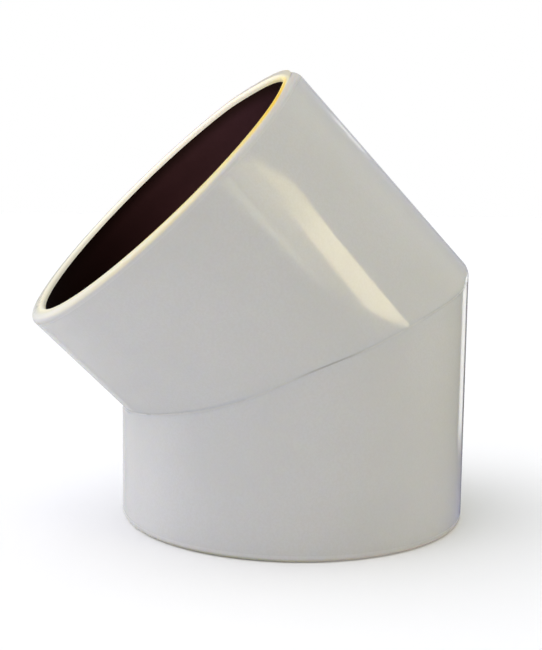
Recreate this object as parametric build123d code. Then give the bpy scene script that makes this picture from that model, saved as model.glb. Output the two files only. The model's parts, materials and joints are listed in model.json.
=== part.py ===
from build123d import *
import math
import os

# A rigid 45 degree elbow for plastic cable conduit. Two short lengths of tube with equal
# diameters are cut at half the bend angle and cemented together along the sharp mitre.
# Each leg is a pale outer shell with a dark liner pushed in from its mitred end. The liner
# is the smooth socket wall, the stop that the conduit butts against, and the cable passage.
#
# The origin is the centre of the lower mouth. +Z runs up the lower leg's axis, and the
# upper leg leans towards -X in the XZ plane. Lengths are in millimetres.

# Driving dimensions: the conduit and its sockets
CONDUIT_DIAMETER = 60.3
CONDUIT_CLEARANCE = 0.15
SOCKET_RADIUS = CONDUIT_DIAMETER / 2 + CONDUIT_CLEARANCE
LOWER_SOCKET_DEPTH = 21.5
UPPER_SOCKET_DEPTH = 23.8
PASSAGE_RADIUS = 28.0
STOP_CHAMFER = 0.8

# Driving dimensions: the legs, from each mouth to the point where their axes meet
BEND_ANGLE = 45.0
LOWER_LEG_LENGTH = 35.7
UPPER_LEG_LENGTH = 38.1

# Driving dimensions: the wall, its lip and the cemented joint
WALL = 3.1
LINER_WALL = 1.2
LIP_DEPTH = 0.95
LIP_OUTER_ROUND = 0.95
LIP_INNER_ROUND = 0.6
WELD_THICKNESS = 0.3
WELD_RECESS = 0.1

OUTER_RADIUS = SOCKET_RADIUS + WALL
LINER_OUTER_RADIUS = SOCKET_RADIUS + LINER_WALL
HALF_BEND = math.radians(BEND_ANGLE / 2)

# The mitre plane passes through the point where the axes meet. In a leg's own frame that
# point is the origin and the leg hangs down from it, with its short side towards -X.
MITRE_NORMAL = Vector(-math.sin(HALF_BEND), 0, math.cos(HALF_BEND))
MITRE_LINE = Vector(math.cos(HALF_BEND), 0, math.sin(HALF_BEND))
MITRE_RISE = OUTER_RADIUS * math.tan(HALF_BEND)
BEND_CENTRE = Location((0, 0, LOWER_LEG_LENGTH))


def arc_corner(start, centre, end):
    """A quarter-round corner between two points of a profile, about its centre."""
    to_start = Vector(*start) - Vector(*centre)
    to_end = Vector(*end) - Vector(*centre)
    middle = Vector(*centre) + (to_start + to_end).normalized() * to_start.length
    return ThreePointArc(start, middle, end)


def mitred_leg(outline, leg_length):
    """Revolve an outline, drawn as (radius, distance from the mouth), and cut its mitre."""
    profile = Plane.XZ * make_face(outline)
    tube = Pos(0, 0, -leg_length) * revolve(profile, Axis.Z)
    cut_plane = Plane(origin=MITRE_NORMAL * (-WELD_THICKNESS / 2), z_dir=MITRE_NORMAL)
    return split(tube, bisect_by=cut_plane, keep=Keep.BOTTOM)


def shell(leg_length):
    """The pale outer tube, with a rounded lip that covers the liner's end."""
    uncut_end = leg_length + 2 * MITRE_RISE
    lip_inner = (SOCKET_RADIUS, LIP_INNER_ROUND)
    land_inner = (SOCKET_RADIUS + LIP_INNER_ROUND, 0)
    inner_centre = (SOCKET_RADIUS + LIP_INNER_ROUND, LIP_INNER_ROUND)
    land_outer = (OUTER_RADIUS - LIP_OUTER_ROUND, 0)
    lip_outer = (OUTER_RADIUS, LIP_OUTER_ROUND)
    outer_centre = (OUTER_RADIUS - LIP_OUTER_ROUND, LIP_OUTER_ROUND)
    outline = Curve() + [
        arc_corner(lip_inner, inner_centre, land_inner),
        Line(land_inner, land_outer),
        arc_corner(land_outer, outer_centre, lip_outer),
        Polyline(
            lip_outer,
            (OUTER_RADIUS, uncut_end),
            (LINER_OUTER_RADIUS, uncut_end),
            (LINER_OUTER_RADIUS, LIP_DEPTH),
            (SOCKET_RADIUS, LIP_DEPTH),
            lip_inner,
        ),
    ]
    return mitred_leg(outline, leg_length)


def liner(leg_length, socket_depth):
    """The dark sleeve: socket wall, conduit stop with an eased edge, and cable passage."""
    uncut_end = leg_length + 2 * MITRE_RISE
    outline = Polyline(
        (SOCKET_RADIUS, LIP_DEPTH),
        (LINER_OUTER_RADIUS, LIP_DEPTH),
        (LINER_OUTER_RADIUS, uncut_end),
        (PASSAGE_RADIUS, uncut_end),
        (PASSAGE_RADIUS, socket_depth + STOP_CHAMFER),
        (PASSAGE_RADIUS + STOP_CHAMFER, socket_depth),
        (SOCKET_RADIUS, socket_depth),
        close=True,
    )
    return mitred_leg(outline, leg_length)


def weld():
    """The thin film of cement between the mitred faces, just below the outer surface."""
    stretch = 1 / math.cos(HALF_BEND)
    outer = OUTER_RADIUS - WELD_RECESS
    ring = Ellipse(outer * stretch, outer) - Ellipse(PASSAGE_RADIUS * stretch, PASSAGE_RADIUS)
    mitre_plane = Plane(origin=(0, 0, 0), x_dir=MITRE_LINE, z_dir=MITRE_NORMAL)
    return extrude(mitre_plane * ring, amount=WELD_THICKNESS / 2, both=True)


def as_lower(leg):
    """Lift a leg from its own frame onto the lower mouth."""
    return BEND_CENTRE * leg


def as_upper(leg):
    """Turn a leg over about the mitre's long line, so that it leans away from the lower one."""
    return BEND_CENTRE * leg.rotate(Axis((0, 0, 0), MITRE_LINE), 180)


parts = {
    "lower_shell": as_lower(shell(LOWER_LEG_LENGTH)),
    "upper_shell": as_upper(shell(UPPER_LEG_LENGTH)),
    "lower_liner": as_lower(liner(LOWER_LEG_LENGTH, LOWER_SOCKET_DEPTH)),
    "upper_liner": as_upper(liner(UPPER_LEG_LENGTH, UPPER_SOCKET_DEPTH)),
    "mitre_weld": as_lower(weld()),
}

os.makedirs("parts", exist_ok=True)
for name, solid in parts.items():
    export_step(solid, f"parts/{name}.step")
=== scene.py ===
import json
import math

import bpy
from mathutils import Matrix, Vector


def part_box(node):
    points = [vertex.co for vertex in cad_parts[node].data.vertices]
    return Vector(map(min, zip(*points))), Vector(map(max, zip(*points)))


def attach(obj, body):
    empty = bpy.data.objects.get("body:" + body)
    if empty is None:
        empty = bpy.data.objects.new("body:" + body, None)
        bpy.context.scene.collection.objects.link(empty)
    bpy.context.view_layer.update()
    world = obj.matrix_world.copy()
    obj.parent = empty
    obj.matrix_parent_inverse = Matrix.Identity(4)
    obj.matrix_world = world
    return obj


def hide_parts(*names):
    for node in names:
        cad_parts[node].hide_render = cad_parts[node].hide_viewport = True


# A 45 degree conduit elbow: two pale gloss shells with rounded lips, dark liners inside them and
# a fine cemented line round the mitre. Everything is in metres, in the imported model's frame: the
# origin is the centre of the lower mouth, +Z runs up the lower leg, and the upper leg leans
# towards -X. Round either leg, "outside" is the side of the bend's outer corner, so the upper
# mouth's high tip is outside and its low tip is inside.

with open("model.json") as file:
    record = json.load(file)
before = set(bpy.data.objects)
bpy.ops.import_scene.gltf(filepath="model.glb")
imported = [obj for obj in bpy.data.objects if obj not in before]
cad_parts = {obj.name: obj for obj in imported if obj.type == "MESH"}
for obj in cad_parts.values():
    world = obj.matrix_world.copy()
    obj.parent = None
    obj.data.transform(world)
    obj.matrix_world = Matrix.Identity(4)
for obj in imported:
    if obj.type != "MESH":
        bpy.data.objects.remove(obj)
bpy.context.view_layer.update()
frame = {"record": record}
scene = bpy.context.scene
MM = 0.001

# ---------------------------------------------------------------------------------------------
# Sizes that come from the frame
# ---------------------------------------------------------------------------------------------
mounts = {mount["name"]: mount for mount in frame["record"]["mounts"]}
BORE_RADIUS = mounts["lower_socket"]["dims"]["r_mm"] * MM
OUTER_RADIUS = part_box("lower_shell")[1].y
LINER_OUTER_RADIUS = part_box("lower_liner")[1].y
UPPER_AXIS = Vector(mounts["upper_socket"]["axis"])
# A socket starts where the round on its lip's inner edge ends.
LIP_INNER_ROUND = mounts["lower_socket"]["pos_m"][2]
UPPER_MOUTH = Vector(mounts["upper_socket"]["pos_m"]) + UPPER_AXIS * LIP_INNER_ROUND
BEND = math.acos(UPPER_AXIS.z)
UPPER_LENGTH = -UPPER_MOUTH.x / math.sin(BEND)
LOWER_LENGTH = UPPER_MOUTH.z - UPPER_LENGTH * math.cos(BEND)
LOWER_STOP = LIP_INNER_ROUND + mounts["lower_socket"]["dims"]["length_mm"] * MM
UPPER_STOP = LIP_INNER_ROUND + mounts["upper_socket"]["dims"]["length_mm"] * MM
BEND_CENTRE = Vector((0, 0, LOWER_LENGTH))
MITRE_LINE = Vector((math.cos(BEND / 2), 0, math.sin(BEND / 2)))
MITRE_NORMAL = Vector((-math.sin(BEND / 2), 0, math.cos(BEND / 2)))

# ---------------------------------------------------------------------------------------------
# Sizes of the details. A pair of values is where something starts and where it is whole. Round a
# leg these are cosines, which are 1 outside the bend and -1 inside it.
# ---------------------------------------------------------------------------------------------
AROUND = 288
SHARP_ANGLE = math.radians(40)

# The lips and the wall behind them
ROUND_STEPS = 10
LIP_OUTER_ROUND = 0.95 * MM
LIP_DEPTH = 0.95 * MM
WALL_ROWS = 20

# The upper mouth's high tip has a wider outer round and is ground down a little, which moves the
# wall less and less behind it.
TIP_ROUND = 2.4 * MM
TIP_DIP = 0.35 * MM
TIP_REACH = 0.80, 1.0
TIP_DIP_FADE = 3.0 * MM, 12.0 * MM
WALL_START = TIP_ROUND + 0.3 * MM

# The liners
SOCKET_ROWS = 8
PASSAGE_RADIUS = 28.0 * MM
STOP_CHAMFER = 0.8 * MM

# The mitre's corner is rounded outside the bend and filled a little inside it.
CORNER_ROUND = 2.2 * MM
CORNER_FILL = 2.0 * MM
FILL_REACH = 0.97, 0.995

# The weld, and the points across the bead's outer face: how far to either side of its middle, in
# half widths, and how far the face is sunk there, in recesses
WELD_HALF = 0.15 * MM / math.cos(BEND / 2)
BEAD_RECESS = 0.01 * MM
BEAD_PROFILE = [(1, 1.0), (0.5, 1.3), (0, 1.4), (-0.5, 1.3), (-1, 1.0)]

# The shells' edges fall away beside the weld, which leaves a fine groove. It fades out inside and
# outside the bend, and at a gap between.
GROOVE_REACH = 0.45 * MM
GROOVE_DEPTH = 0.02 * MM
GROOVE_INSIDE_FADE = 0.86, 0.97
GROOVE_OUTSIDE_FADE = 0.7, 0.85
GROOVE_GAP = 0.26
GROOVE_GAP_FADE = 0.08, 0.18

# The joint line strays a little from the mitre's plane: where round the lower leg in degrees, how
# far to either side that reaches, and how far down the line goes there.
SEAM_STRAYS = [(-130, 28, 0.55 * MM), (-101, 24, -0.42 * MM), (-40, 30, 0.80 * MM)]
STRAY_REACH = 3.0 * MM

# Rows of points on the outer wall, as distances back from the mitre in millimetres
MITRE_ROWS = [0.2, 0.28, 0.4, 0.52, 0.66, 0.82, 1.0, 1.3, 1.8, 2.4, 3.0]


def smooth(value, start, end):
    """0 up to start, 1 from end, and a smooth step between them."""
    share = min(max((value - start) / (end - start), 0), 1)
    return share * share * (3 - 2 * share)


# ---------------------------------------------------------------------------------------------
# How the surfaces near the mitre and the high tip differ from plain tubes
# ---------------------------------------------------------------------------------------------
def corner_relief(distance, angle):
    """How far the outer wall stands proud near the mitre, at a distance back from its plane."""
    side = math.cos(angle)
    if side > 0:
        size = CORNER_ROUND
    else:
        size = CORNER_FILL * smooth(-side, *FILL_REACH)
    reach = size * math.tan(BEND / 2) * abs(side)
    if distance < reach:
        return -math.copysign((reach - distance) ** 2 / (2 * size), side)
    return 0


def groove_share(angle):
    """How deep the groove is round the mitre, from 0 to 1."""
    side = math.cos(angle)
    share = 1 - smooth(-side, *GROOVE_INSIDE_FADE)
    share *= 1 - smooth(side, *GROOVE_OUTSIDE_FADE)
    share *= smooth(abs(side - GROOVE_GAP), *GROOVE_GAP_FADE)
    return share


def groove_relief(distance, angle):
    """How far the outer wall stands proud near the joint line, at a distance back from it."""
    if distance > GROOVE_REACH:
        return 0
    fall = (GROOVE_REACH - distance) / (GROOVE_REACH - WELD_HALF)
    return -GROOVE_DEPTH * fall ** 2 * groove_share(angle)


def seam_stray(angle):
    """How far the joint line lies below the mitre's plane, at an angle round the lower leg."""
    stray = 0
    for middle, reach, size in SEAM_STRAYS:
        offset = (math.degrees(angle) - middle + 180) % 360 - 180
        if abs(offset) < reach:
            stray += size * math.cos(math.pi / 2 * offset / reach) ** 2
    return stray


def mitred_point(radius, angle, distance):
    """A point at a distance back from the mitre's plane. Past the plane it lies on the other leg."""
    if radius == OUTER_RADIUS:
        radius += corner_relief(abs(distance), angle)
    x = radius * math.cos(angle)
    point = Vector((x, radius * math.sin(angle), x * math.tan(BEND / 2) - abs(distance)))
    if distance < 0:
        point -= 2 * point.dot(MITRE_NORMAL) * MITRE_NORMAL
    return point


def shape_upper_tip(radius, depth, angle):
    """Move a point of the upper leg's section to widen the lip's round and grind the high tip."""
    tip = smooth(math.cos(angle), *TIP_REACH)
    if radius > OUTER_RADIUS - LIP_OUTER_ROUND and depth <= LIP_OUTER_ROUND:
        scale = 1 + (TIP_ROUND / LIP_OUTER_ROUND - 1) * tip
        radius = OUTER_RADIUS - (OUTER_RADIUS - radius) * scale
        depth *= scale
    depth += TIP_DIP * tip * (1 - smooth(depth, *TIP_DIP_FADE))
    return radius, depth


# ---------------------------------------------------------------------------------------------
# Meshes
# ---------------------------------------------------------------------------------------------
def ring_mesh(name, verts, lengths):
    """A closed mesh of AROUND rings of points, joined into a loop round an axis.

    lengths has the running length at each point of a ring and at the end of its last side. The
    mesh gets a UV map with U round the axis, from 0 to 1, and V along the ring.
    """
    count = len(lengths) - 1
    faces = []
    for step in range(AROUND):
        here = step * count
        there = (step + 1) % AROUND * count
        for j in range(count):
            k = (j + 1) % count
            faces.append((here + j, there + j, there + k, here + k))
    mesh = bpy.data.meshes.new(name)
    mesh.from_pydata(verts, [], faces)
    layer = mesh.uv_layers.new(name="section")
    for face in mesh.polygons:
        step, j = divmod(face.index, count)
        left = step / AROUND
        right = (step + 1) / AROUND
        near = lengths[j]
        far = lengths[j + 1]
        corners = ((left, near), (right, near), (right, far), (left, far))
        for loop, corner in zip(face.loop_indices, corners):
            layer.data[loop].uv = corner
    return mesh


def section_lengths(section):
    """The running length round a section, in centimetres."""
    lengths = [0.0]
    for (r0, d0, _), (r1, d1, _) in zip(section, section[1:] + section[:1]):
        lengths.append(lengths[-1] + math.hypot(r1 - r0, d1 - d0) * 100)
    return lengths


def leg_mesh(name, section, leg_length, upper):
    """A closed tube of revolution with one mitred end, in a leg's own frame.

    section is a ring of points (radius, distance from the mouth, share). share is how far a
    point follows the mitre: 0 stays square to the axis, and 1 lies parallel to the mitre. The
    leg's frame has the bend's centre at its origin and hangs down from it, outside towards +X.
    """
    rise = math.tan(BEND / 2)
    verts = []
    for step in range(AROUND):
        angle = 2 * math.pi * step / AROUND
        # The upper leg is turned about the mitre's line, so its angles run the other way.
        stray = -seam_stray(-angle) if upper else seam_stray(angle)
        for radius, depth, share in section:
            if share == 1:
                distance = leg_length - depth
                drop = groove_relief(distance, angle) if radius == OUTER_RADIUS else 0
                fade = min(max((STRAY_REACH - distance) / (STRAY_REACH - WELD_HALF), 0), 1)
                point = mitred_point(radius, angle, distance + stray * fade)
                verts.append(point + drop * Vector((math.cos(angle), math.sin(angle), 0)))
                continue
            if upper:
                radius, depth = shape_upper_tip(radius, depth, angle)
            x = radius * math.cos(angle)
            y = radius * math.sin(angle)
            verts.append((x, y, depth - leg_length + share * x * rise))
    return ring_mesh(name, verts, section_lengths(section))


def shell_section(leg_length):
    """The shell's ring of points, from its bore land over the lip and along the outer wall."""
    section = [(BORE_RADIUS, LIP_DEPTH, 0)]
    for step in range(ROUND_STEPS + 1):
        turn = math.radians(90 * step / ROUND_STEPS)
        radius = BORE_RADIUS + LIP_INNER_ROUND * (1 - math.cos(turn))
        section.append((radius, LIP_INNER_ROUND * (1 - math.sin(turn)), 0))
    for step in range(ROUND_STEPS):
        turn = math.radians(90 * step / ROUND_STEPS)
        radius = OUTER_RADIUS - LIP_OUTER_ROUND * (1 - math.sin(turn))
        section.append((radius, LIP_OUTER_ROUND * (1 - math.cos(turn)), 0))
    section.append((OUTER_RADIUS, LIP_OUTER_ROUND, 0))
    wall_end = leg_length - MITRE_ROWS[-1] * MM
    for row in range(WALL_ROWS + 1):
        share = row / WALL_ROWS
        section.append((OUTER_RADIUS, WALL_START + (wall_end - WALL_START) * share, share))
    for distance in reversed(MITRE_ROWS[:-1]):
        section.append((OUTER_RADIUS, leg_length - distance * MM, 1))
    end = leg_length - WELD_HALF
    section.append((OUTER_RADIUS, end, 1))
    section.append((LINER_OUTER_RADIUS, end, 1))
    section.append((LINER_OUTER_RADIUS, LIP_DEPTH, 0))
    return section


def liner_section(leg_length, stop):
    """The liner's ring of points: socket wall, stop, eased edge, passage, back and front."""
    section = []
    for row in range(SOCKET_ROWS + 1):
        section.append((BORE_RADIUS, LIP_DEPTH + (stop - LIP_DEPTH) * row / SOCKET_ROWS, 0))
    section.append((PASSAGE_RADIUS + STOP_CHAMFER, stop, 0))
    section.append((PASSAGE_RADIUS, stop + STOP_CHAMFER, 0))
    end = leg_length - WELD_HALF
    section.append((PASSAGE_RADIUS, end, 1))
    section.append((LINER_OUTER_RADIUS, end, 1))
    section.append((LINER_OUTER_RADIUS, LIP_DEPTH, 0))
    return section


def bead_mesh(name):
    """The cement between the legs: a thin ring in the mitre with a slightly hollow outer face."""
    verts = []
    for step in range(AROUND):
        angle = 2 * math.pi * step / AROUND
        stray = seam_stray(angle)
        recess = BEAD_RECESS * groove_share(angle)
        outward = Vector((math.cos(angle), math.sin(angle), 0))
        verts.append(mitred_point(PASSAGE_RADIUS, angle, stray + WELD_HALF))
        for place, sunk in BEAD_PROFILE:
            distance = place * WELD_HALF
            drop = groove_relief(abs(distance), angle) - recess * sunk
            verts.append(mitred_point(OUTER_RADIUS, angle, stray + distance) + drop * outward)
        verts.append(mitred_point(PASSAGE_RADIUS, angle, stray - WELD_HALF))
    count = len(BEAD_PROFILE) + 2
    return ring_mesh(name, verts, range(count + 1))


def new_object(mesh):
    """An object for a mesh made about the bend's centre, smooth except at its sharp edges."""
    mesh.transform(Matrix.Translation(BEND_CENTRE))
    obj = bpy.data.objects.new(mesh.name, mesh)
    scene.collection.objects.link(obj)
    for face in mesh.polygons:
        face.use_smooth = True
    mesh.set_sharp_from_angle(angle=SHARP_ANGLE)
    return obj


def place_leg(mesh, upper):
    """Turn a leg's mesh from its own frame into the model's and make an object of it."""
    if upper:
        mesh.transform(Matrix.Rotation(math.pi, 4, MITRE_LINE))
    return new_object(mesh)


# ---------------------------------------------------------------------------------------------
# Node helpers, for the materials and the studio light
# ---------------------------------------------------------------------------------------------
class Graph:
    """A node tree and short ways to add to it. A value is a socket or a plain number."""

    def __init__(self, tree):
        self.tree = tree

    def node(self, kind, **settings):
        """A new node with its settings."""
        node = self.tree.nodes.new(kind)
        for name, value in settings.items():
            setattr(node, name, value)
        return node

    def put(self, value, socket):
        """Link a socket's value to another socket, or set a plain value on it."""
        if isinstance(value, bpy.types.NodeSocket):
            self.tree.links.new(value, socket)
        else:
            socket.default_value = value

    def math(self, operation, *values, clamp=False):
        """The result of a Math node's operation on the values."""
        node = self.node("ShaderNodeMath", operation=operation, use_clamp=clamp)
        for value, socket in zip(values, node.inputs):
            self.put(value, socket)
        return node.outputs[0]

    def step(self, value, start, end, low=0.0, high=1.0):
        """A smooth step from low at start to high at end."""
        node = self.node("ShaderNodeMapRange", interpolation_type="SMOOTHSTEP")
        self.put(value, node.inputs["Value"])
        self.put(start, node.inputs["From Min"])
        self.put(end, node.inputs["From Max"])
        self.put(low, node.inputs["To Min"])
        self.put(high, node.inputs["To Max"])
        return node.outputs["Result"]

    def mix(self, share, first, second):
        """A mix of two colours."""
        node = self.node("ShaderNodeMix", data_type="RGBA")
        self.put(share, node.inputs["Factor"])
        # A Mix node has sockets for every kind of value, and these are its colours.
        self.put(first, node.inputs[6])
        self.put(second, node.inputs[7])
        return node.outputs[2]

    def noise(self, vector, scale, detail=2.0, roughness=0.5):
        """Noise from 0 to 1. The scale is about how many marks there are to a unit of the vector."""
        node = self.node("ShaderNodeTexNoise")
        self.put(vector, node.inputs["Vector"])
        self.put(scale, node.inputs["Scale"])
        self.put(detail, node.inputs["Detail"])
        self.put(roughness, node.inputs["Roughness"])
        return node.outputs["Fac"]

    def stretch(self, vector, scale):
        """Coordinates scaled unevenly, for marks that run one way."""
        node = self.node("ShaderNodeMapping")
        self.put(vector, node.inputs["Vector"])
        self.put(scale, node.inputs["Scale"])
        return node.outputs["Vector"]


class Look(Graph):
    """A material with a Principled shader, its place in metres and its section map."""

    def __init__(self, name):
        self.material = bpy.data.materials.new(name)
        self.material.use_nodes = True
        super().__init__(self.material.node_tree)
        self.shader = self.tree.nodes["Principled BSDF"]
        self.place = self.node("ShaderNodeTexCoord").outputs["Object"]
        self.section = self.node("ShaderNodeUVMap", uv_map="section").outputs[0]
        parts = self.node("ShaderNodeSeparateXYZ")
        self.put(self.section, parts.inputs[0])
        self.around = parts.outputs["X"]
        self.along = parts.outputs["Y"]

    def set(self, **values):
        """Set or link the shader's sockets. Underscores stand for the spaces in their names."""
        for name, value in values.items():
            self.put(value, self.shader.inputs[name.replace("_", " ")])

    def facing(self, share_round, sharpness):
        """1 at a place round the leg and 0 opposite it."""
        turn = self.math("MULTIPLY_ADD", self.around, 2 * math.pi, -2 * math.pi * share_round)
        half = self.math("MULTIPLY_ADD", self.math("COSINE", turn), 0.5, 0.5)
        return self.math("POWER", half, sharpness)

    def bump(self, layers):
        """Stack bumps, each a height, its depth in metres and its strength."""
        normal = None
        for height, depth, strength in layers:
            node = self.node("ShaderNodeBump")
            self.put(height, node.inputs["Height"])
            self.put(depth, node.inputs["Distance"])
            self.put(strength, node.inputs["Strength"])
            if normal is not None:
                self.put(normal, node.inputs["Normal"])
            normal = node.outputs[0]
        self.put(normal, self.shader.inputs["Normal"])


# ---------------------------------------------------------------------------------------------
# The shells' material
# ---------------------------------------------------------------------------------------------
WALL_COLOUR = (0.68, 0.675, 0.675, 1)
WALL_TINT = (0.66, 0.655, 0.645, 1)
WALL_SPECK = (0.64, 0.63, 0.61, 1)
LIP_CREAM = (0.78, 0.735, 0.54, 1)
LIP_MILK = (0.78, 0.765, 0.70, 1)
LIP_ROSE = (0.67, 0.60, 0.555, 1)
# Painted shade: the lip's darker colour on the far side by the low tip
LIP_PAINTED_SHADE = (0.50, 0.485, 0.40, 1)
# The straw on the near side and the yellow and gold by the bore are painted light, standing in for
# light through the thin lip.
LIP_STRAW = (0.84, 0.755, 0.43, 1)
# Painted shade on the lip's outer round by the high tip
LIP_SHOULDER_SHADE = (0.58, 0.54, 0.45, 1)
LIP_YELLOW = (0.82, 0.70, 0.29, 1)
LIP_GOLD = (0.93, 0.585, 0.0, 1)
# The glow on the lips' inner edge is painted light: an emission that stands in for light through the
# thin plastic.
LIP_GLOW_COLOUR = (1.0, 0.93, 0.74, 1)
LIP_GLOW = 0.56
NICK_GREY = (0.22, 0.22, 0.17, 1)

# Where round a leg each look is strongest, as a share of a turn, and how sharply it fades from
# there. On the upper mouth the high tip is at 0, the near side at 0.25, the low tip at 0.5 and
# the far side at 0.75.
BAND_SHORT_AT = 0.13, 14.0
BAND_SHORT_LOW_AT = 0.48, 40.0
ROSE_AT = 0.87, 3.0
PAINTED_SHADE_AT = 0.64, 10.0
STRAW_AT = 0.17, 2.5
NICKS_AT = 0.54, 110.0
SHOULDER_AT = 0.14, 12.0
GOLD_AT = 0.13, 26.0
GOLD_WIDE_AT = 0.19, 4.0
GLOW_AT = 0.78, 1.5

# Where along the section each look starts and is whole, or starts to end and is gone, in
# centimetres from the bore land's back over the lip
GLOW_END = 0.12, 0.20
MILK_START = 0.15, 0.27
NICKS_START = 0.08, 0.14
SHOULDER_START = 0.24, 0.30
SHOULDER_END = 0.34, 0.42
BAND_END = 0.375, 0.425
CUT_END = 0.42, 0.52

# How much sooner the lip's pale band stops at its two short places, how far over the lip the gold
# reaches at least, how much further it does on the near side, how far its edge wanders, and how
# soft that edge is, all in centimetres along the section
BAND_SHORT_BY = 0.14
BAND_SHORT_LOW_BY = 0.07
GOLD_REACH = -0.01
GOLD_REACH_MORE = 0.345
GOLD_WANDER = 0.05
GOLD_EDGE = -0.03, 0.05


def wall_colour(look):
    """Ivory with a faint mottle and fine specks."""
    mottle = look.noise(look.place, 45.0, detail=3.0, roughness=0.55)
    wall = look.mix(look.step(mottle, 0.35, 0.68), WALL_COLOUR, WALL_TINT)
    speck = look.noise(look.place, 2600.0, detail=1.0)
    return look.mix(look.step(speck, 0.3, 0.7, 0.0, 0.5), wall, WALL_SPECK)


def lip_colour(look):
    """Cream by the bore and milkier further out, tinted differently round the mouth, and nicked. The
    near side is yellower with painted light, and the far side by the low tip darker with painted
    shade.
    """
    pale = look.mix(look.step(look.along, *MILK_START), LIP_CREAM, LIP_MILK)
    pale = look.mix(look.facing(*ROSE_AT), pale, LIP_ROSE)
    # Painted shade on the far side by the low tip
    pale = look.mix(look.facing(*PAINTED_SHADE_AT), pale, LIP_PAINTED_SHADE)
    # Yellower on the near side: painted light, as the gold is.
    pale = look.mix(look.facing(*STRAW_AT), pale, LIP_STRAW)
    nick = look.step(look.noise(look.place, 1500.0, detail=4.0, roughness=0.7), 0.52, 0.58)
    nick = look.math("MULTIPLY", nick, look.facing(*NICKS_AT))
    nick = look.math("MULTIPLY", nick, look.step(look.along, *NICKS_START))
    return look.mix(nick, pale, NICK_GREY)


def lip_share(look):
    """1 on the lip and 0 on the wall. The lip's pale band stops sooner at two places round it."""
    limit = look.math("MULTIPLY_ADD", look.facing(*BAND_SHORT_AT), BAND_SHORT_BY, look.along)
    limit = look.math("MULTIPLY_ADD", look.facing(*BAND_SHORT_LOW_AT), BAND_SHORT_LOW_BY, limit)
    return look.step(limit, *BAND_END, 1.0, 0.0)


def shoulder_shade_share(look):
    """1 on the part of the outer round, on the near side by the high tip, that is darkened with
    painted shade.
    """
    shoulder = look.step(look.along, *SHOULDER_START)
    shoulder = look.math("MULTIPLY", shoulder, look.step(look.along, *SHOULDER_END, 1.0, 0.0))
    return look.math("MULTIPLY", shoulder, look.facing(*SHOULDER_AT))


def paint_gold_light(look, colour):
    """Add the gold by the bore, painted light that stands in for light through the thin lip. It
    reaches further over the lip on the near side.
    """
    wide = look.facing(*GOLD_WIDE_AT)
    reach = look.math("MULTIPLY_ADD", wide, GOLD_REACH_MORE, GOLD_REACH)
    noise = look.noise(look.place, 160.0)
    wander = look.math("MULTIPLY_ADD", noise, GOLD_WANDER, -GOLD_WANDER / 2)
    inward = look.math("SUBTRACT", look.math("ADD", reach, wander), look.along)
    gold = look.mix(look.facing(*GOLD_AT), LIP_YELLOW, LIP_GOLD)
    return look.mix(look.step(inward, *GOLD_EDGE), colour, gold)


def shell_material():
    """Gloss ivory PVC. The lips are paler, with painted light by the bore: gold and a glow that
    stand in for light through thin plastic.
    """
    look = Look("gloss_ivory_pvc")
    colour = look.mix(lip_share(look), wall_colour(look), lip_colour(look))
    # Painted shade on the outer round by the high tip
    colour = look.mix(shoulder_shade_share(look), colour, LIP_SHOULDER_SHADE)
    look.set(Base_Color=paint_gold_light(look, colour))
    # Painted glow: emission on the lip's thin inner edge, most on the far side, stands in for light
    # coming through it.
    glow = look.step(look.along, *GLOW_END, LIP_GLOW, 0.0)
    glow = look.math("MULTIPLY", glow, look.facing(*GLOW_AT))
    look.set(Emission_Color=LIP_GLOW_COLOUR, Emission_Strength=glow)
    # Gloss that handling has dulled in patches, and a lip left rough by its cut
    handling = look.noise(look.place, 110.0, detail=4.0, roughness=0.6)
    gloss = look.step(handling, 0.3, 0.75, 0.045, 0.075)
    cut = look.step(look.along, *CUT_END, 0.4, 0.0)
    look.set(Roughness=look.math("ADD", gloss, cut), IOR=1.5)
    look.set(Subsurface_Weight=0.4, Subsurface_Radius=(1.0, 0.7, 0.3), Subsurface_Scale=1.5 * MM)
    peel = look.noise(look.place, 420.0, detail=1.0)
    ripple = look.noise(look.place, 70.0, detail=1.0)
    look.bump([(peel, 0.02 * MM, 0.25), (ripple, 0.06 * MM, 0.25)])
    return look.material


# ---------------------------------------------------------------------------------------------
# The other materials
# ---------------------------------------------------------------------------------------------
LINER_BROWN = (0.166, 0.061, 0.059, 1)
LINER_PLUM = (0.135, 0.052, 0.065, 1)
LINER_SHADE_BLACK = (0.006, 0.001, 0.0, 1)
LINER_EDGE = (0.040, 0.016, 0.012, 1)
CEMENT = (0.66, 0.65, 0.62, 1)
CEMENT_DARK = (0.25, 0.23, 0.19, 1)
PAPER_WHITE = (0.88, 0.88, 0.88, 1)
PAPER_GLOW = 0.1

# Where round a leg the liner isn't painted black for shade, which takes both of the first two, and
# where it is plum and where the cement is darker. These pairs are a share of a turn and how sharply
# it fades.
LINER_LIT_AT = 0.84, 3.0
LINER_LIT_HIGH_AT = 0.90, 2.0
PLUM_AT = 0.95, 6.0
DARK_STRETCH_AT = 0.728, 200.0
DARK_STRETCH_SHARE = 0.4

# Where down the socket the liner's painted shade behind the lip ends, and where its colour grows
# full, in centimetres from the lip, and how much of the colour it has in between
EDGE_END = 0.0, 0.28
FULL_START = 0.45, 1.2
BETWEEN_SHARE = 0.64


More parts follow.
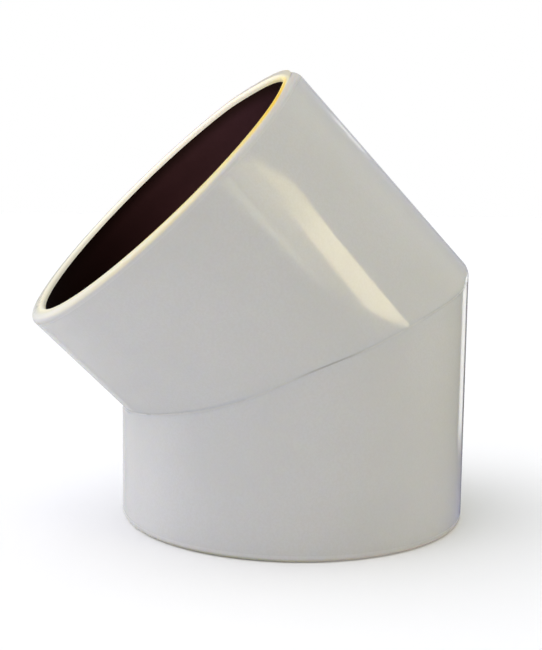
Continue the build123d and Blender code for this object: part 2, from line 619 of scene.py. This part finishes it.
def liner_material():
    """Dark brown satin plastic, with painted shade: darker just behind the lip, and black away from
    its lit side.
    """
    look = Look("dark_brown_liner")
    deep = look.step(look.along, *EDGE_END, 0.0, BETWEEN_SHARE)
    deeper = look.step(look.along, *FULL_START, 0.0, 1 - BETWEEN_SHARE)
    deep = look.math("ADD", deep, deeper)
    side = look.math("MULTIPLY", look.facing(*LINER_LIT_AT), look.facing(*LINER_LIT_HIGH_AT))
    warm = look.mix(look.facing(*PLUM_AT), LINER_BROWN, LINER_PLUM)
    cloud = look.noise(look.place, 60.0, detail=3.0, roughness=0.6)
    warm = look.mix(look.step(cloud, 0.4, 0.8, 0.0, 0.2), warm, LINER_EDGE)
    # Painted shade: dark just behind the lip, and black away from the lit side
    colour = look.mix(deep, LINER_EDGE, warm)
    colour = look.mix(side, LINER_SHADE_BLACK, colour)
    look.set(Base_Color=colour, Specular_IOR_Level=0.05)
    # Fine draw marks that run down the bore
    drawn = look.noise(look.stretch(look.section, (240.0, 1.5, 1.0)), 1.0, detail=3.0, roughness=0.6)
    look.set(Roughness=look.step(drawn, 0.3, 0.7, 0.4, 0.55))
    grain = look.noise(look.place, 900.0)
    look.bump([(drawn, 0.04 * MM, 0.3), (grain, 0.02 * MM, 0.3)])
    return look.material


def bead_material():
    """Dried cement: nearly the shell's colour, with dust in it and darker along a stretch in front.
    """
    look = Look("dried_cement")
    dust = look.noise(look.place, 300.0, detail=3.0, roughness=0.6)
    # Darker along a stretch in front, and in dusty specks all round
    darkening = look.math("MULTIPLY", look.facing(*DARK_STRETCH_AT), DARK_STRETCH_SHARE)
    darkening = look.math("ADD", darkening, look.step(dust, 0.45, 0.8, 0.0, 0.15), clamp=True)
    colour = look.mix(darkening, CEMENT, CEMENT_DARK)
    look.set(Base_Color=colour, Roughness=look.step(dust, 0.3, 0.7, 0.25, 0.45))
    look.bump([(dust, 0.03 * MM, 0.4)])
    return look.material


def floor_material():
    """Even white paper, a little brighter than its light alone makes it."""
    look = Look("white_paper")
    look.set(Base_Color=PAPER_WHITE, Roughness=1.0, Specular_IOR_Level=0.0)
    look.set(Emission_Color=(1, 1, 1, 1), Emission_Strength=PAPER_GLOW)
    fibre = look.noise(look.place, 1500.0, detail=3.0)
    look.bump([(fibre, 0.02 * MM, 0.1)])
    return look.material


# ---------------------------------------------------------------------------------------------
# The pieces
# ---------------------------------------------------------------------------------------------
def add_piece(obj, node, material):
    """Give a piece its material, hang it on the root body and hide the part it stands in for."""
    obj.data.materials.append(material)
    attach(obj, "root")
    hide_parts(node)


shell_look = shell_material()
liner_look = liner_material()
legs = (
    ("lower", LOWER_LENGTH, LOWER_STOP, False),
    ("upper", UPPER_LENGTH, UPPER_STOP, True),
)
for leg, length, stop, upper in legs:
    tube_mesh = leg_mesh(leg + "_tube", shell_section(length), length, upper)
    add_piece(place_leg(tube_mesh, upper), leg + "_shell", shell_look)
    sleeve_mesh = leg_mesh(leg + "_sleeve", liner_section(length, stop), length, upper)
    # The liner's ring of points runs the other way round from the shell's.
    sleeve_mesh.flip_normals()
    add_piece(place_leg(sleeve_mesh, upper), leg + "_liner", liner_look)
bead = new_object(bead_mesh("mitre_bead"))
add_piece(bead, "mitre_weld", bead_material())

# ---------------------------------------------------------------------------------------------
# The floor. Reflections don't see it, so the sky is painted below the horizon too.
# ---------------------------------------------------------------------------------------------
FLOOR_HALF = 4.0
FLOOR_CORNERS = (-1, -1), (1, -1), (1, 1), (-1, 1)
floor_mesh = bpy.data.meshes.new("floor")
floor_verts = [(x * FLOOR_HALF, y * FLOOR_HALF, 0) for x, y in FLOOR_CORNERS]
floor_mesh.from_pydata(floor_verts, [], [(0, 1, 2, 3)])
floor_mesh.materials.append(floor_material())
floor = bpy.data.objects.new("floor", floor_mesh)
scene.collection.objects.link(floor)
floor.visible_glossy = False


# ---------------------------------------------------------------------------------------------
# The studio light: soft glows and a few windows, painted on the sky by direction
# ---------------------------------------------------------------------------------------------
class Sky(Graph):
    """Builds the world's nodes. Azimuth is 0 towards -Y and 90 towards +X, in degrees."""

    def __init__(self):
        world = bpy.data.worlds.new("studio")
        scene.world = world
        world.use_nodes = True
        super().__init__(world.node_tree)
        self.tree.nodes.clear()
        self.direction = self.node("ShaderNodeTexCoord").outputs["Generated"]
        parts = self.node("ShaderNodeSeparateXYZ")
        self.put(self.direction, parts.inputs[0])
        self.elevation = self.math("ARCSINE", parts.outputs["Z"])
        self.light = None

    def edge(self, value, middle, softness):
        """0 below the middle and 1 above it, smooth over softness either side, in degrees."""
        return self.step(value, math.radians(middle - softness), math.radians(middle + softness))

    def azimuth_from(self, azimuth):
        """The azimuth measured from the given one, so that its wrap is on the far side."""
        turn = self.node("ShaderNodeVectorRotate", rotation_type="Z_AXIS")
        self.put(-math.radians(azimuth), turn.inputs["Angle"])
        self.put(self.direction, turn.inputs["Vector"])
        parts = self.node("ShaderNodeSeparateXYZ")
        self.put(turn.outputs[0], parts.inputs[0])
        ahead = self.math("MULTIPLY", parts.outputs["Y"], -1.0)
        return self.math("ARCTAN2", parts.outputs["X"], ahead)

    def add(self, mask, colour, strength):
        """Add a mask's light to the sky."""
        node = self.node("ShaderNodeVectorMath", operation="SCALE")
        self.put([strength * channel for channel in colour], node.inputs[0])
        self.put(mask, node.inputs["Scale"])
        if self.light is None:
            self.light = node.outputs[0]
            return
        total = self.node("ShaderNodeVectorMath", operation="ADD")
        self.put(self.light, total.inputs[0])
        self.put(node.outputs[0], total.inputs[1])
        self.light = total.outputs[0]

    def glow(self, azimuth, elevation, reach, colour, strength):
        """A round glow that fades smoothly to nothing at reach degrees from its centre."""
        turn = math.radians(azimuth)
        rise = math.radians(elevation)
        centre = (math.sin(turn) * math.cos(rise), -math.cos(turn) * math.cos(rise), math.sin(rise))
        dot = self.node("ShaderNodeVectorMath", operation="DOT_PRODUCT")
        self.put(self.direction, dot.inputs[0])
        self.put(centre, dot.inputs[1])
        mask = self.step(dot.outputs["Value"], math.cos(math.radians(reach)), 1.0)
        self.add(mask, colour, strength)

    def window(self, azimuth, elevation, sides, soft, colour, strength, lean=0.0, slope=0.0):
        """A four-sided window. sides has its left, right, bottom and top sides in degrees from its
        centre, and soft their softness. lean tips the upright sides, in degrees of azimuth per
        degree of elevation, and slope tips the level ones."""
        left, right, bottom, top = sides
        soft_left, soft_right, soft_bottom, soft_top = soft
        across = self.azimuth_from(azimuth)
        height = self.math("SUBTRACT", self.elevation, math.radians(elevation))
        tipped_across = self.math("MULTIPLY_ADD", height, -lean, across)
        tipped_height = self.math("MULTIPLY_ADD", across, -slope, height)
        mask = self.edge(tipped_across, left, soft_left)
        mask = self.math("MULTIPLY", mask, self.edge(tipped_height, bottom, soft_bottom))
        past_right = self.edge(tipped_across, right, soft_right)
        mask = self.math("MULTIPLY", mask, self.math("SUBTRACT", 1.0, past_right))
        past_top = self.edge(tipped_height, top, soft_top)
        mask = self.math("MULTIPLY", mask, self.math("SUBTRACT", 1.0, past_top))
        self.add(mask, colour, strength)

    def finish(self, backdrop):
        """The camera sees an even backdrop, and everything else sees the studio's light."""
        light = self.node("ShaderNodeBackground")
        self.put(self.light, light.inputs["Color"])
        plain = self.node("ShaderNodeBackground")
        self.put(backdrop, plain.inputs["Color"])
        mix = self.node("ShaderNodeMixShader")
        self.put(self.node("ShaderNodeLightPath").outputs["Is Camera Ray"], mix.inputs["Fac"])
        self.put(light.outputs[0], mix.inputs[1])
        self.put(plain.outputs[0], mix.inputs[2])
        output = self.node("ShaderNodeOutputWorld")
        self.put(mix.outputs[0], output.inputs["Surface"])


def add_glows(sky):
    """The studio's broad, soft light."""
    # From the left, low and high, and round to the back
    sky.glow(-95, 20, reach=60, colour=(0.84, 0.90, 1), strength=0.45)
    sky.glow(-95, 60, reach=50, colour=(1, 0.96, 0.97), strength=1.69)
    sky.glow(-140, 0, reach=60, colour=(0.97, 0.98, 1), strength=0.83)
    # Low behind the object
    sky.glow(172, -17, reach=20, colour=(1, 1, 1), strength=0.4)
    # From the right, and round to the back, broad and narrow
    sky.glow(80, 25, reach=60, colour=(1, 0.99, 0.68), strength=0.44)
    sky.glow(140, 30, reach=50, colour=(0.74, 0.78, 1), strength=0.37)
    sky.glow(150, 14, reach=24, colour=(1, 0.99, 0.97), strength=0.25)
    # From the camera's side, and from straight above
    sky.glow(-20, 45, reach=60, colour=(0.69, 0.72, 1), strength=0.13)
    sky.glow(0, 90, reach=60, colour=(0.86, 0.92, 1), strength=0.73)


def add_streak_windows(sky):
    """The windows whose reflections make the bright streak on the upper shell."""
    # The streak itself, in two parts
    sky.window(
        45.5, 16, sides=(-6.2, 6.3, -5.7, 2.9), soft=(1.8, 0.4, 0.4, 2.2),
        colour=(1, 0.86, 0.47), strength=6.4, lean=0.08, slope=0.42,
    )
    sky.window(
        45.5, 16, sides=(-6.5, 5.0, 2.9, 7.3), soft=(3, 0.4, 2.2, 0.8),
        colour=(1, 0.85, 0.35), strength=3.65, lean=0.40, slope=0.27,
    )
    # The fainter light beside it
    sky.window(
        35.5, 15, sides=(-2.5, 3.5, -3, 8), soft=(1.5, 1.5, 3, 3),
        colour=(1, 0.8, 0.3), strength=0.6, slope=0.6,
    )
    sky.window(
        34, 10, sides=(-7, 5, -5, 12), soft=(4, 1.5, 3.5, 3),
        colour=(1, 0.91, 0.4), strength=1.25, slope=0.3,
    )
    # The faint ridge to its left
    sky.window(
        25, 8, sides=(-3.5, 2.8, -4, 6), soft=(4.5, 1.8, 3, 2),
        colour=(0.97, 1, 0.6), strength=1.75, lean=-0.5,
    )


def add_edge_windows(sky):
    """The windows whose reflections run along the object's right edges."""
    # The sliver at the upper right
    sky.window(
        143.3, 15.8, sides=(-4.5, 5, -1.9, 1.5), soft=(1, 0.8, 0.5, 0.5),
        colour=(1, 1, 1), strength=0.6, lean=0.76, slope=-0.79,
    )
    # The line down the lower shell
    sky.window(
        130.5, -5, sides=(-5.7, 6.0, -7.5, 10), soft=(0.8, 0.8, 1.5, 2),
        colour=(1, 1, 1), strength=1.3,
    )


def light_studio():
    """Paint the sky."""
    sky = Sky()
    add_glows(sky)
    # The paper to the right, as reflections see it
    sky.window(
        100, -30, sides=(-55, 45, -40, 16), soft=(15, 10, 3, 4),
        colour=(0.55, 0.57, 1), strength=0.52,
    )
    add_streak_windows(sky)
    add_edge_windows(sky)
    sky.finish((1, 1, 1, 1))


light_studio()

# ---------------------------------------------------------------------------------------------
# The camera, which looks at a point beside the bend's centre
# ---------------------------------------------------------------------------------------------
CAMERA_AZIMUTH = math.radians(-17.64)
CAMERA_ELEVATION = math.radians(6.74)
CAMERA_ROLL = math.radians(0.74)
CAMERA_DISTANCE = 6.204 * OUTER_RADIUS
LENS_MM = 58.35
CLIP_START = 0.01
AIM_RIGHT = -0.1345 * OUTER_RADIUS
AIM_UP = 0.0307 * OUTER_RADIUS

back = Vector((
    math.sin(CAMERA_AZIMUTH) * math.cos(CAMERA_ELEVATION),
    -math.cos(CAMERA_AZIMUTH) * math.cos(CAMERA_ELEVATION),
    math.sin(CAMERA_ELEVATION),
))
level = Vector((math.cos(CAMERA_AZIMUTH), math.sin(CAMERA_AZIMUTH), 0))
upright = back.cross(level)
right = level * math.cos(CAMERA_ROLL) + upright * math.sin(CAMERA_ROLL)
up = upright * math.cos(CAMERA_ROLL) - level * math.sin(CAMERA_ROLL)
stand = Matrix((right, up, back)).transposed().to_4x4()
stand.translation = BEND_CENTRE + right * AIM_RIGHT + up * AIM_UP + back * CAMERA_DISTANCE
camera_data = bpy.data.cameras.new("camera")
camera_data.lens = LENS_MM
camera_data.clip_start = CLIP_START
camera = bpy.data.objects.new("camera", camera_data)
scene.collection.objects.link(camera)
camera.matrix_world = stand
scene.camera = camera
scene.view_settings.view_transform = "Standard"
